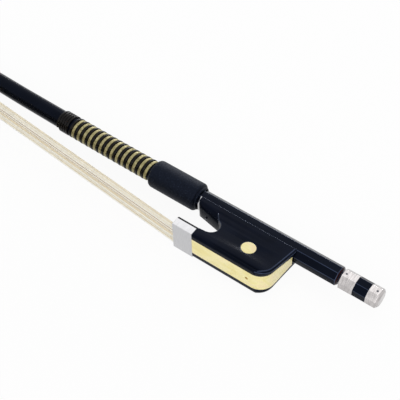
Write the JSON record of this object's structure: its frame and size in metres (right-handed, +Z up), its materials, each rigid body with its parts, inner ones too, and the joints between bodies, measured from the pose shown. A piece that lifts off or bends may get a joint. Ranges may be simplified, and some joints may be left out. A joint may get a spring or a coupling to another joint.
{
  "type": "cello bow",
  "caption": "Cello bow lying on its side: cambered black stick, hair ribbon, two-tone lapping, thumb grip, and a frog that a screw button draws back to tighten the hair.",
  "frame": {"origin": "middle of the base of the bow's box, as it lies on its side", "axes": "+X along the handle to the screw button, +Y away from the hair, +Z up out of the frog's upper cheek"},
  "size_m": [0.7184, 0.0773, 0.0181],
  "materials": {
    "stick_black": "gloss",
    "ebony_black": "satin",
    "tip_white": "gloss",
    "maple_wood": "matte",
    "linen_thread": "matte",
    "grip_rubber": "matte",
    "wrap_gold": "satin",
    "wrap_black": "satin",
    "bow_hair": "satin",
    "frog_black": "gloss",
    "nickel_silver": "satin",
    "pearl_gold": "gloss",
    "brass": "satin",
    "steel": "satin"
  },
  "bodies": {
    "stick": {"stick": "stick_black", "tip_liner": "ebony_black", "tip_plate": "tip_white", "tip_plug": "maple_wood", "hair_tie_tip": "linen_thread", "grip": "grip_rubber", "wrap_gold": "wrap_gold", "wrap_black": "wrap_black", "hair_ribbon": "bow_hair"},
    "frog": {"frog_body": "frog_black", "ferrule": "nickel_silver", "ferrule_wedge": "maple_wood", "slide_plate": "pearl_gold", "slide_backing": "ebony_black", "slide_pin": "brass", "frog_plug": "maple_wood", "hair_tie_frog": "linen_thread", "hair_in_frog": "bow_hair", "eye_upper": "pearl_gold", "eye_lower": "pearl_gold", "underslide": "nickel_silver", "underslide_pins": "brass", "eyelet": "brass"},
    "button": {"screw": "steel", "button_collar": "nickel_silver", "button_core": "ebony_black", "button_cap": "nickel_silver", "button_pins": "steel"}
  },
  "joints": [
    {"name": "frog_slide", "type": "slide", "parent": "stick", "child": "frog", "axis": [1, 0, 0], "range_m": [0, 0.0077], "deforming": ["hair_ribbon"]},
    {"name": "screw_turn", "type": "hinge", "parent": "stick", "child": "button", "pos_m": [0.34047, -0.01279, 0.00905], "axis": [-1, 0, 0], "range_deg": [0, 3960]}
  ],
  "couplings": [
    {"joint": "screw_turn", "follows": "frog_slide", "rad_per_m": 8976}
  ]
}
